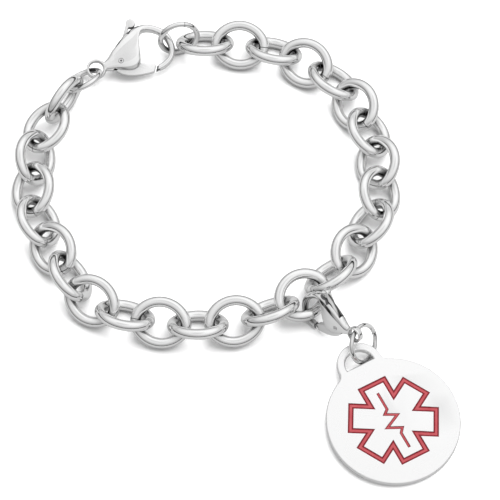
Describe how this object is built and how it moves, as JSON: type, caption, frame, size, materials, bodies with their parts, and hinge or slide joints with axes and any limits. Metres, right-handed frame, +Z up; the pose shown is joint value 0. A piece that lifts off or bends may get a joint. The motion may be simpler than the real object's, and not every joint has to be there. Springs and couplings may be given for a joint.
{
  "type": "medical alert bracelet",
  "caption": "Chain bracelet of interlocking oval links closed by a lobster clasp, with a round enamelled medical tag that hangs on a smaller lobster clasp of its own.",
  "frame": {"origin": "middle of the wrist opening, on the surface that the bracelet lies on", "axes": "+Z up off that surface, +X to the right and -Y towards the side where the tag hangs"},
  "size_m": [0.0751, 0.087, 0.0087],
  "materials": {
    "steel": "polished stainless steel wire",
    "bright_steel": "polished cast stainless steel",
    "tag_steel": "satin stainless steel with a polished rim",
    "enamel": "glossy crimson enamel"
  },
  "bodies": {
    "bracelet": {"link_01": "steel", "link_02": "steel", "link_03": "steel", "link_04": "steel", "link_05": "steel", "link_06": "steel", "link_07": "steel", "link_08": "steel", "link_09": "steel", "link_10": "steel", "link_11": "steel", "link_12": "steel", "link_13": "steel", "link_14": "steel", "link_15": "steel", "link_16": "steel", "link_17": "steel", "link_18": "steel", "link_19": "steel", "link_20": "steel", "link_21": "steel", "link_22": "steel", "link_23": "steel", "link_24": "steel", "link_25": "steel", "link_26": "steel", "end_ring": "steel", "eye_ring": "steel", "clasp_body": "bright_steel", "clasp_rivet": "steel", "charm_clasp_body": "bright_steel", "charm_clasp_rivet": "steel", "charm_ring": "steel", "tag": "tag_steel", "star_enamel": "enamel", "trace_enamel": "enamel"},
    "clasp_lever": {"clasp_lever": "steel"},
    "charm_clasp_lever": {"charm_clasp_lever": "steel"}
  },
  "joints": [
    {"name": "clasp_lever_hinge", "type": "hinge", "parent": "bracelet", "child": "clasp_lever", "pos_m": [-0.01701, 0.02712, 0.00248], "axis": [0.0897, -0.2606, 0.9613], "range_deg": [0, 22], "stiffness_Nm_per_rad": 0.005, "springref_deg": -22.92},
    {"name": "charm_clasp_lever_hinge", "type": "hinge", "parent": "bracelet", "child": "charm_clasp_lever", "pos_m": [0.02031, -0.02525, 0.00426], "axis": [0.6948, 0.6216, -0.3618], "range_deg": [0, 14], "stiffness_Nm_per_rad": 0.005, "springref_deg": -22.92}
  ]
}
